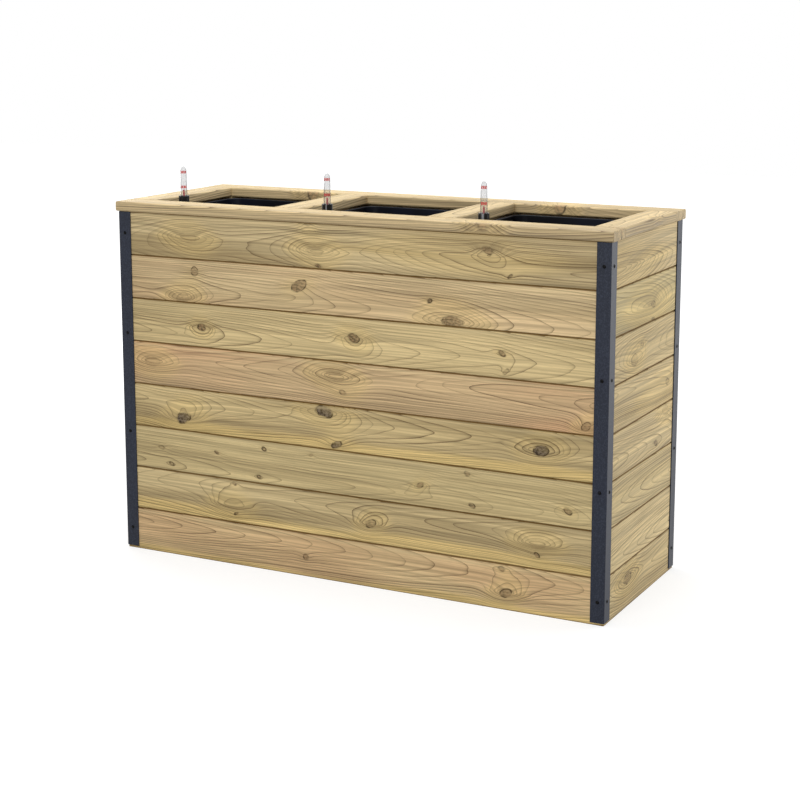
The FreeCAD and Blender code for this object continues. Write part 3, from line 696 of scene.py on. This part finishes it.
def pine_finish(name, origin, order, inward, upright_beyond=None, **changes):
    """The finish of one length. Further from the middle than upright_beyond, its grain is upright."""
    look = {**PLAIN, **changes}
    material, tree, shader = new_material(name)
    grain = board_axes(tree, origin, order, inward)
    if upright_beyond:
        from_middle = calc(tree, "ABSOLUTE", split(tree, object_place(tree))["X"])
        outer = calc(tree, "GREATER_THAN", from_middle, upright_beyond)
        turned = vector_calc(tree, "SUBTRACT", board_axes(tree, origin, "ZXY", inward), grain)
        grain = vector_calc(tree, "MULTIPLY_ADD", turned, outer, grain)
    lift, slope, core, rim = grow_knots(tree, grain, look["knots"], look["knot_depth"])
    rings = use_group(tree, rings_group, grain=grain, lift=lift, slope=slope,
                      **{key: look[key] for key in RING_VALUES})
    pine = use_group(tree, pine_group, grain=grain, lift=lift, core=core, rim=rim,
                     wood=paint(*look["wood"]), knot_wood=paint(*look["knot_wood"]),
                     **{mask.lower(): rings[mask] for mask in RING_MASKS},
                     **{key: look[key] for key in PINE_VALUES})
    surface(tree, shader, pine["Colour"], pine["Roughness"], look["gloss"])
    emboss(tree, shader, pine["Height"], 0.35, GRAIN_RELIEF)
    return material


print("plain pine:", STRAW, "with rings of", round(PLAIN["ring_width"] / MILLI, 1), "mm")

# %% [markdown]
# The eight front boards are what everyone sees, so each gets its own tone and knots. A knot is
# written as its place along and across the board, its half length and half width in millimetres, how
# dark it is, and how many rings it takes off the count. Boards are numbered from the lowest.

# %% Front boards
FRONT_BOARDS = {
    8: {"wood": (196, 176, 134), "streaky": 0.75, "pith_across": -0.014, "rise": -0.05, "knots": (
        (-392, 0, 20, 11, 0.12, 6), (-78, -10, 17, 10, 0.16, 7), (-97, 47, 7, 6, 0.40, 2),
        (-71, -41, 7, 4, 0.90, 1), (312, 16, 11, 8, 0.60, 5), (250, 6, 60, 14, 0.0, 5),
        (360, -33, 4, 4, 0.70, 1))},
    7: {"wood": (214, 190, 146), "blush": 0.2, "pith_across": -0.026, "rise": 0.045, "knots": (
        (-377, 22, 9, 10, 0.50, 1), (-408, -38, 15, 11, 0.30, 6), (-118, 9, 16, 13, 0.72, 2),
        (185, 1, 5, 4, 0.80, 1), (236, -38, 22, 12, 0.72, 7))},
    6: {"wood": (212, 190, 141), "pith_across": -0.018, "rise": 0.04, "knots": (
        (-361, -4, 10, 8, 0.85, 5), (12, 5, 13, 9, 0.85, 5), (344, 3, 7, 5, 0.70, 2),
        (353, -33, 5, 6, 0.35, 1))},
    5: {"wood": (208, 180, 138), "blush": 0.45, "streaky": 0.15, "pith_across": 0.022, "rise": -0.04,
        "knots": (
            (-493, 5, 19, 11, 0.14, 6), (-33, 16, 19, 12, 0.14, 7), (-15, -17, 7, 5, 0.40, 1),
            (524, -30, 9, 9, 0.45, 5))},
    4: {"wood": (204, 182, 134), "streaky": 0.5, "pith_across": 0.02, "rise": 0.05, "sap_edge": -0.023,
        "knot_wood": (120, 105, 88), "knots": (
            (-414, -19, 17, 13, 0.95, 6), (-59, 33, 20, 12, 0.95, 6), (-30, -35, 11, 8, 0.85, 3),
            (430, 6, 16, 11, 0.95, 6))},
    3: {"wood": (204, 184, 136), "contrast": 0.75, "pith_across": -0.03, "rise": 0.03, "knots": (
        (-328, 8, 5, 4, 0.80, 1), (-208, 30, 5, 4, 0.70, 1), (-447, -31, 5, 4, 0.50, 1),
        (-221, -33, 5, 4, 0.70, 1), (-92, 30, 4, 3, 0.40, 1), (-473, 3, 7, 4, 0.30, 1),
        (165, -2, 7, 6, 0.60, 3), (270, 35, 6, 5, 0.60, 1), (282, -30, 6, 5, 0.60, 1),
        (489, -14, 7, 7, 0.60, 2))},
    2: {"wood": (206, 185, 139), "streaky": 0.5, "pith_across": 0.016, "rise": -0.045,
        "sap_edge": -0.018, "knots": (
            (-285, 39, 4, 3, 0.70, 1), (-281, -28, 4, 3, 0.70, 1), (-292, -10, 18, 10, 0.10, 5),
            (51, -5, 11, 9, 0.50, 6), (424, 5, 17, 9, 0.16, 7), (425, -18, 5, 5, 0.60, 1))},
    1: {"wood": (219, 194, 147), "blush": 0.3, "streaky": 0.2, "pith_across": 0.02, "rise": 0.045,
        "sap_edge": -0.030, "knots": (
            (-107, -5, 6, 6, 0.60, 1), (359, -12, 12, 9, 0.55, 6), (349, 37, 7, 5, 0.60, 2))},
}
ROWS = len(FRONT_BOARDS)
print("front boards:", ROWS, "knots:", sum(len(look["knots"]) for look in FRONT_BOARDS.values()))

# %% [markdown]
# The grain of a board starts from the middle of its visible face, which its box in the CAD model
# gives. A tongue makes that box taller than the face, so for a wall board the height comes from its
# row. The walls end where the frame lies on them, so their height divided by the rows is one face.

# %% Dress the front wall
BOARD_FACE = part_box("front_rail")[0].z / ROWS


def face_middle(node_name, axis, side):
    """The middle of a board's visible face: side picks its low or its high face along the axis."""
    low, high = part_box(node_name)
    middle = (low + high) / 2
    middle[AXES.index(axis)] = (low, high)[side][AXES.index(axis)]
    return middle


def wall_face(node_name, row, axis, side):
    """The same for a wall board, whose tongue doesn't count as part of its face."""
    middle = face_middle(node_name, axis, side)
    middle.z = (row - 0.5) * BOARD_FACE
    return middle


def dress(node_name, material):
    """Give a CAD piece its finish. Its mesh and place stay as they are."""
    for slot in nodes[node_name].material_slots:
        slot.material = material


for row, look in FRONT_BOARDS.items():
    name = f"front_board_{row}"
    origin = wall_face(name, row, "Y", 0)
    dress(name, pine_finish(name + "_pine", origin, "XZY", 1.0, half_face=BOARD_FACE / 2,
                            seed=row * 1.7, **look))
print("board face:", round(BOARD_FACE / MILLI, 1), "mm")

# %% [markdown]
# The walls that aren't in the photograph could repeat the front, but that would be noticed. Their
# boards get tones and knots from a seeded draw instead, which gives the same ones on every run. The
# middles of the knots keep clear of a board's ends and edges. Knots are measured in millimetres.

# %% Drawn boards
PALE_PINE = (206, 186, 142)
WARM_PINE = (212, 180, 138)
KNOT_SIZES = (4, 5, 6, 9, 12, 15)
KNOT_SPACING = 200
CLEAR_END = 30
KNOT_ACROSS = 38


def drawn_knots(draw, half_length):
    """A few knots, large or small, spread along a board of that half length."""
    knots = []
    for _ in range(draw.randint(1, 2 + round(half_length / KNOT_SPACING))):
        size = draw.choice(KNOT_SIZES)
        place = draw.uniform(-half_length + CLEAR_END, half_length - CLEAR_END)
        knots.append((place, draw.uniform(-KNOT_ACROSS, KNOT_ACROSS), size * draw.uniform(1.1, 1.5), size,
                      draw.uniform(0.2, 0.9), 1 + size / 4))
    return tuple(knots)


def drawn_look(draw):
    """Tone, pith and grain of a board that the photograph doesn't show."""
    warm = draw.uniform(0, 1)
    wood = tuple(round(pale + (full - pale) * warm) for pale, full in zip(PALE_PINE, WARM_PINE))
    return {"wood": wood, "streaky": draw.uniform(0.2, 0.6), "blush": max(0.0, draw.uniform(-0.4, 0.2)),
            "pith_across": draw.uniform(-0.03, 0.03), "pith_depth": draw.uniform(0.035, 0.07),
            "rise": draw.choice((-1, 1)) * draw.uniform(0.03, 0.06), "lean": draw.uniform(-0.02, 0.02)}


print("tones drawn from", PALE_PINE, "to", WARM_PINE)

# %% [markdown]
# The right end is seen at a slant, so its boards get the tones and knots that show there in place of
# drawn ones, and narrower rings. One loop dresses all three walls, because they differ only in their
# axes, in the side that faces out and in their length.

# %% End and back boards
RIGHT_WOOD = {8: (204, 184, 142), 7: (200, 182, 135), 6: (198, 178, 135), 5: (207, 186, 142),
              4: (214, 193, 148), 3: (205, 185, 140), 2: (218, 197, 151), 1: (206, 185, 140)}
RIGHT_KNOTS = {
    8: ((-165, -10, 70, 12, 0.0, 8),),
    7: ((42, -13, 12, 7, 0.35, 2), (10, -13, 36, 12, 0.0, 7), (42, -44, 8, 4, 0.60, 1)),
    6: ((-63, -15, 18, 12, 0.30, 4), (-20, 10, 8, 5, 0.25, 2)),
    5: ((144, -3, 12, 6, 0.30, 1), (150, -20, 60, 14, 0.0, 5)),
    4: ((79, -26, 9, 6, 0.60, 1), (137, 32, 18, 11, 0.20, 5)),
    1: ((-75, 12, 20, 11, 0.55, 6),),
}
WALLS = {"back": ("XZY", 1, -1.0, 560), "left": ("YZX", 0, 1.0, 180), "right": ("YZX", 1, -1.0, 180)}
for wall, (order, side, inward, half_length) in WALLS.items():
    for row in range(1, ROWS + 1):
        name = f"{wall}_board_{row}"
        draw = random.Random(f"{wall} {row}")
        look = drawn_look(draw)
        look["knots"] = drawn_knots(draw, half_length)
        if wall == "right":
            look.update(wood=RIGHT_WOOD[row], blush=0.0, streaky=0.2, ring_width=0.003,
                        knots=RIGHT_KNOTS.get(row, ()))
        origin = wall_face(name, row, order[2], side)
        dress(name, pine_finish(name + "_pine", origin, order, inward, half_face=BOARD_FACE / 2,
                                seed=draw.uniform(20, 60), **look))
print("other walls:", ", ".join(WALLS))

# %% [markdown]
# The top frame is planed smoother than the walls, so it shines a little more. One finish for the whole
# frame would let the grain run across the joints. So each rail takes its own grain axes, with the pith
# below its upper face.

# %% Top frame
RAILS = {"front_rail": "XYZ", "back_rail": "XYZ", "left_end_rail": "YXZ", "left_cross_bar": "YXZ",
         "right_cross_bar": "YXZ", "right_end_rail": "YXZ"}
PLANED = (202, 180, 137)
RAIL_WOOD = {"front_rail": (194, 172, 130)}
RAIL_KNOT_WOOD = (184, 138, 98)
RAIL_KNOTS = {"back_rail": ((-290, -30, 14, 10, 0.5, 6), (317, -30, 13, 10, 0.5, 6)),
              "front_rail": ((300, -26, 13, 9, 0.3, 6), (571, 12, 7, 7, 0.5, 2)),
              "right_end_rail": ((40, 20, 9, 7, 0.3, 2),)}
for index, (name, order) in enumerate(RAILS.items()):
    look = drawn_look(random.Random(name))
    look.update(wood=RAIL_WOOD.get(name, PLANED), knot_wood=RAIL_KNOT_WOOD, streaky=0.3, blush=0.0,
                knot_depth=0.02, gloss=0.4, knots=RAIL_KNOTS.get(name, ()))
    dress(name, pine_finish(name + "_pine", face_middle(name, "Z", 1), order, -1.0,
                            seed=70 + index * 3.1, **look))
print("rails:", len(RAILS))

# %% [markdown]
# Inside, battens stand in the corners, ledgers run between them and slats lie across, all of sawn
# timber. Battens and ledgers are one CAD piece with two directions of grain. It could be cut in two,
# but its finish can pick the direction by place: near the ends of the planter the grain is upright.

# %% Inner timber
SAWN = (190, 168, 124)
CORNER_BATTENS = 0.51
for name, order, upright in (("inner_battens", "XZY", CORNER_BATTENS), ("shelf_slats", "YXZ", None)):
    middle = face_middle(name, "Z", 1)
    dress(name, pine_finish(name + "_pine", middle, order, -1.0, upright, seed=93.0, wood=SAWN,
                            streaky=0.4))
print("inner timber tone:", SAWN)

# %% [markdown]
# The corner angles are steel under a dark, slightly blue powder coat. Powder melts into a skin with a
# fine orange-peel texture and small pale flecks, and dust dulls it unevenly. Peel this fine would
# take millions of faces, so it is a bump, and the coat's roughness spreads the lamps' reflections.

# %% Powder-coated steel
CORNERS = ("front_left", "front_right", "back_right", "back_left")
COAT_DARK = paint(17, 22, 36)
COAT_DUSTY = paint(24, 30, 45)
COAT_FLECK = paint(56, 63, 78)
PEEL_GRAIN = (900, 900, 900)
DUST_GRAIN = (14, 14, 5)
FLECK_GRAIN = (430, 430, 300)
PEEL_RELIEF = 0.0002
angle_steel, tree, shader = new_material("angle_powder_coat")
place = object_place(tree)
peel = cloud(tree, place, PEEL_GRAIN, 2.0)
dust = cloud(tree, place, DUST_GRAIN, 3.0)
fleck = step(tree, cloud(tree, place, FLECK_GRAIN, 2.0, 0.7), 0.42, 0.68)
coat = tint(tree, step(tree, dust, 0.3, 0.75), COAT_DARK, COAT_DUSTY)
coat = lay(tree, coat, COAT_FLECK, fleck, 0.5)
surface(tree, shader, coat, between(tree, dust, 0.40, 0.54), gloss=0.28)
emboss(tree, shader, peel, 0.25, PEEL_RELIEF)
for corner in CORNERS:
    dress(f"{corner}_angle", angle_steel)
print("angles dressed:", len(CORNERS))

# %% [markdown]
# Each leg of an angle has four black screws with domed countersunk heads. A screw could be put
# together from a cylinder and cones, but one profile spun round its axis gives head and shank in one
# closed skin. Its crown is part of an ellipse. The profile is in millimetres.

# %% Screw body
SCREW_CROWN = 1.9
SCREW_HEAD = 3.75
CROWN_RINGS = (0.0, 0.5, 1.9, 3.0, SCREW_HEAD)
SCREW_SHANK = ((2.0, -2.0), (2.0, -10.0), (0.0, -12.0))
SCREW_SIDES = 16
MERGE = 0.01 * MILLI
crown = [(r, SCREW_CROWN * math.sqrt(1 - (r / SCREW_HEAD) ** 2)) for r in CROWN_RINGS]
form = bmesh.new()
points = [form.verts.new((r * MILLI, 0.0, z * MILLI)) for r, z in (*crown, *SCREW_SHANK)]
edges = [form.edges.new(pair) for pair in zip(points, points[1:])]
half_side = Matrix.Rotation(math.pi / SCREW_SIDES, 3, "Z")
bmesh.ops.rotate(form, verts=points, cent=(0, 0, 0), matrix=half_side)
bmesh.ops.spin(form, geom=points + edges, cent=(0, 0, 0), axis=(0, 0, 1), angle=2 * math.pi,
               steps=SCREW_SIDES, use_merge=True)
bmesh.ops.remove_doubles(form, verts=form.verts[:], dist=MERGE)
bmesh.ops.recalc_face_normals(form, faces=form.faces[:])
print("screw body:", len(form.faces), "faces")

# %% [markdown]
# A cross is pressed into the middle of the head for the driver. Cutting it with a Boolean would leave
# ragged faces. Here the faces on the cross's two lines, and those round the middle, are picked and
# inset downwards. The body was turned by half a side, so that each line runs through whole faces.

# %% Screw cross
CROSS_REACH = 1.9 * MILLI
CROSS_HUB = 0.5 * MILLI
ON_LINE = 0.05 * MILLI
CROSS_WALL = 0.05 * MILLI
CROSS_DEPTH = 0.6 * MILLI
cross = []
for face in form.faces:
    middle = face.calc_center_median()
    from_axis = middle.xy.length
    on_line = min(abs(middle.x), abs(middle.y)) < ON_LINE
    if middle.z > 0.0 and from_axis < CROSS_REACH and (on_line or from_axis < CROSS_HUB):
        cross.append(face)
bmesh.ops.inset_region(form, faces=cross, thickness=CROSS_WALL, depth=-CROSS_DEPTH, use_even_offset=True)
one_screw = bpy.data.meshes.new("one_screw")
form.to_mesh(one_screw)
form.free()
print("one screw:", len(one_screw.polygons), "faces, cross of", len(cross))

# %% [markdown]
# A screw sits in the middle of each leg of an angle, at four heights that run from the middle of the
# lowest board to the middle of the highest. The places could be typed in, but they come from the
# angles' boxes, so that they follow the CAD model.

# %% Screw seats
SCREWS_PER_LEG = 4
screw_pitch = (ROWS - 1) * BOARD_FACE / (SCREWS_PER_LEG - 1)
screw_heights = [BOARD_FACE / 2 + screw_pitch * level for level in range(SCREWS_PER_LEG)]
seats = []
for corner in CORNERS:
    low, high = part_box(f"{corner}_angle")
    leg_middle = (high.x - low.x) / 2
    is_right = corner.endswith("right")
    is_back = corner.startswith("back")
    end_side = Vector((1 if is_right else -1, 0, 0))
    long_side = Vector((0, 1 if is_back else -1, 0))
    for height in screw_heights:
        outer = Vector((high.x if is_right else low.x, high.y if is_back else low.y, height))
        seats.append((outer - end_side * leg_middle, long_side))
        seats.append((outer - long_side * leg_middle, end_side))
print("screw seats:", len(seats), "pitch:", round(screw_pitch / MILLI, 1), "mm")

# %% [markdown]
# The finished screw is copied to all its seats in one mesh, which stands for the plain screws of the
# CAD model. Every screw is turned a little further than the one before, as screws are when they are
# driven home. A few grey spots on their black finish are painted highlights, small glints of light.

# %% All screws
SCREW_TURN = 0.9
GLINT_GRAIN = (420, 420, 420)
SCREW_BLACK = paint(4, 4, 5)
SCREW_GLINT_GREY = paint(80, 82, 88)
form = bmesh.new()
for index, (place, facing) in enumerate(seats):
    first = len(form.verts)
    form.from_mesh(one_screw)
    form.verts.ensure_lookup_table()
    outwards = facing.to_track_quat("Z", "Y").to_matrix().to_4x4()
    turned = outwards @ Matrix.Rotation(index * SCREW_TURN, 4, "Z")
    bmesh.ops.transform(form, matrix=Matrix.Translation(place) @ turned, verts=form.verts[first:])
screw_black, tree, shader = new_material("screw_black_finish")
glint_noise = cloud(tree, object_place(tree), GLINT_GRAIN, 3.0)
# The grey spots are painted highlights, glints on the black heads. The same noise varies the roughness.
colour = tint(tree, step(tree, glint_noise, 0.64, 0.74), SCREW_BLACK, SCREW_GLINT_GREY)
surface(tree, shader, colour, between(tree, glint_noise, 0.14, 0.34), gloss=0.10)
screws = add_piece("corner_screws", form, screw_black)
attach(screws, "carcass")
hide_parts("angle_screws")
print("screws:", len(seats), "polygons:", len(screws.data.polygons))

# %% [markdown]
# The liners and their plates are moulded black plastic with a very fine grain. Their broad soft sheen
# is partly their gloss and partly painted: a navy tint and paler blue patches in their colour. The
# stand-pipes and their ribbed collars have a tighter gloss and pale upright lines on the ribs, which
# are painted highlights. One node group holds what these plastics share.

# %% Moulded plastic group
RIB_HIGHLIGHT_GREY = paint(168, 170, 176)
HAZE_GRAIN = (9, 9, 6)
RIB_HIGHLIGHT_GRAIN = (230, 230, 3)
plastic_group, taken, given = new_group(
    "moulded_plastic",
    [("Place", "Vector"), ("Dark", "Color"), ("Pale", "Color"), ("Smooth", "Float"), ("Grain", "Float"),
     ("Rubbed", "Float")],
    [("Colour", "Color"), ("Roughness", "Float"), ("Height", "Float")])
tree = plastic_group
haze = cloud(tree, taken["Place"], HAZE_GRAIN, 3.0)
# Pale upright lines on the ribs are painted highlights.
rubbed = step(tree, cloud(tree, taken["Place"], RIB_HIGHLIGHT_GRAIN, 1.0), 0.56, 0.66)
colour = tint(tree, step(tree, haze, 0.35, 0.75), taken["Dark"], taken["Pale"])
feed(tree, given["Colour"], lay(tree, colour, RIB_HIGHLIGHT_GREY, rubbed, taken["Rubbed"]))
feed(tree, given["Roughness"], calc(tree, "MULTIPLY_ADD", haze, 0.15, taken["Smooth"]))
grain = vector_calc(tree, "MULTIPLY", taken["Place"], alike(tree, taken["Grain"]))
feed(tree, given["Height"], cloud(tree, grain, (1, 1, 1)))
print("plastic group:", len(tree.nodes), "nodes")

# %% [markdown]
# Two materials use the group. The liners' one is blue-black and dull, its blue a painted sheen, and
# the collars' one is a neutral black with a stronger reflection. The painted rib highlights are noise
# stretched along the height, so they run down the ribs.

# %% Black plastic
SIDES = ("left", "middle", "right")
PLASTIC_RELIEF = 0.0002


def black_plastic(name, gloss, **values):
    """A black moulding. Rib highlight gives it pale upright lines, painted highlights on a ribbed collar.
    """
    material, tree, shader = new_material(name)
    plastic = use_group(tree, plastic_group, place=object_place(tree), **values)
    surface(tree, shader, plastic["Colour"], plastic["Roughness"], gloss)
    emboss(tree, shader, plastic["Height"], 0.2, PLASTIC_RELIEF)
    return material


# The liners' navy tones and paler blue patches are a painted sheen on the black plastic.
liner_black = black_plastic("liner_black", 0.15, dark=paint(7, 8, 14), pale=paint(13, 16, 30),
                            smooth=0.36, grain=700.0, rubbed=0.0)
collar_black = black_plastic("collar_black", 0.30, dark=paint(10, 10, 13), pale=paint(18, 18, 21),
                             smooth=0.24, grain=500.0, rubbed=0.7)
for side in SIDES:
    dress(f"{side}_liner", liner_black)
    dress(f"{side}_reservoir_plate", liner_black)
    dress(f"{side}_indicator_pipe", collar_black)
print("plastics:", liner_black.name, collar_black.name)

# %% [markdown]
# The sight tubes are clear plastic with a thin wall. Seen square on, such a wall is almost invisible,
# and where it curves away it is seen edgewise and turns grey. Glass with refraction would bend the
# rod out of sight in so small a tube. So the alpha follows the slant of the surface instead, and a
# faint haze keeps the middle from vanishing.

# %% Sight tubes
TUBE_FACE = (0.36, 0.37, 0.38, 1.0)
TUBE_EDGE = (0.08, 0.08, 0.10, 1.0)
TUBE_GRAIN = (260, 260, 60)
EDGE_SLANT = (0.35, 0.9)
EDGE_ALPHA = 0.66
HAZE_ALPHA = (0.13, 0.17)
tube_clear, tree, shader = new_material("tube_clear")
slant = node(tree, "LayerWeight")
slant.inputs["Blend"].default_value = 0.5
edge = step(tree, slant.outputs["Facing"], *EDGE_SLANT)
haze = cloud(tree, object_place(tree), TUBE_GRAIN, 2.0)
colour = tint(tree, edge, TUBE_FACE, TUBE_EDGE)
surface(tree, shader, colour, between(tree, haze, 0.04, 0.14), gloss=0.3)
veil = between(tree, haze, *HAZE_ALPHA)
feed(tree, shader.inputs["Alpha"], calc(tree, "MULTIPLY_ADD", edge, EDGE_ALPHA, veil))
for side in SIDES:
    dress(f"{side}_sight_tube", tube_clear)
print("sight tubes:", len(SIDES), "alpha at the edge up to", round(EDGE_ALPHA + HAZE_ALPHA[1], 2))

# %% [markdown]
# Each float carries a red pointer on a rod, which shows the water's height in the tube. Its plastic is
# red all through and bleached unevenly by the sun. One flat red would look like a toy's, so noise
# mixes two reds.

# %% Floats
FLOAT_RED = paint(178, 32, 30)
BLEACHED_RED = paint(204, 48, 42)
BLEACH_GRAIN = (60, 60, 25)
float_red, tree, shader = new_material("float_red")
bleach = cloud(tree, object_place(tree), BLEACH_GRAIN, 2.0)
colour = tint(tree, step(tree, bleach, 0.3, 0.7), FLOAT_RED, BLEACHED_RED)
surface(tree, shader, colour, between(tree, bleach, 0.25, 0.45), gloss=0.5)
for side in SIDES:
    dress(f"{side}_float", float_red)
print("floats:", len(SIDES))

# %% [markdown]
# Red bars on each tube show the highest and the lowest water. They could be painted on by a mask, but
# a thin solid keeps a crisp edge. A bar is a short upright edge, spun a little way round the tube's
# axis, so it follows the tube's curve. The tube tapers, so each end of the edge has its own radius.

# %% One level bar
TUBE_LOW = (0.790, 0.0076)
TUBE_HIGH = (0.846, 0.0068)
BAR_SPAN = 22
BAR_STEPS = 4
CLEARANCE = 0.05 * MILLI


def tube_radius(height):
    """The tube's outer radius at a height, between two places where it is known."""
    share = (height - TUBE_LOW[0]) / (TUBE_HIGH[0] - TUBE_LOW[0])
    return TUBE_LOW[1] + share * (TUBE_HIGH[1] - TUBE_LOW[1])


def add_bar(form, axis, heights, turn):
    """One bar round the tube's axis, starting that many degrees from the front."""
    start = Matrix.Rotation(math.radians(turn), 3, "Z") @ Vector((0.0, -1.0, 0.0))
    ends = []
    for height in heights:
        outwards = start * (tube_radius(height) + CLEARANCE)
        ends.append(form.verts.new(axis + outwards + Vector((0, 0, height))))
    bmesh.ops.spin(form, geom=[*ends, form.edges.new(ends)], cent=axis, axis=(0, 0, 1),
                   angle=math.radians(BAR_SPAN), steps=BAR_STEPS)


print("tube radius:", TUBE_LOW[1] / MILLI, "to", TUBE_HIGH[1] / MILLI, "mm")

# %% [markdown]
# Each tube gets two rows of bars, made in one bmesh. All bars are thickened together, and their
# normals are set right before and after, so that they point outwards. The marks ride with their tub,
# so they lift out with it.

# %% Level marks
MARK_HEIGHTS = ((0.8385, 0.8445), (0.8060, 0.8120))
MARK_TURNS = (-28, 2, 32, 62)
MARK_THICKNESS = 0.15 * MILLI
for side in SIDES:
    low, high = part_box(f"{side}_sight_tube")
    axis = Vector(((low.x + high.x) / 2, (low.y + high.y) / 2, 0.0))
    form = bmesh.new()
    for heights in MARK_HEIGHTS:
        for turn in MARK_TURNS:
            add_bar(form, axis, heights, turn)
    bmesh.ops.recalc_face_normals(form, faces=form.faces[:])
    bmesh.ops.solidify(form, geom=form.faces[:], thickness=MARK_THICKNESS)
    bmesh.ops.recalc_face_normals(form, faces=form.faces[:])
    marks = add_piece(f"{side}_level_marks", form, float_red)
    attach(marks, f"{side}_tub")
print("level marks:", len(MARK_HEIGHTS) * len(MARK_TURNS), "bars on each tube")

# %% [markdown]
# Looks must not change the planter's size, so the last cell prints the box round the dressed model.

# %% Finish
low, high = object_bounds()
print("visual box:", [round(v, 4) for v in (*low, *high)])
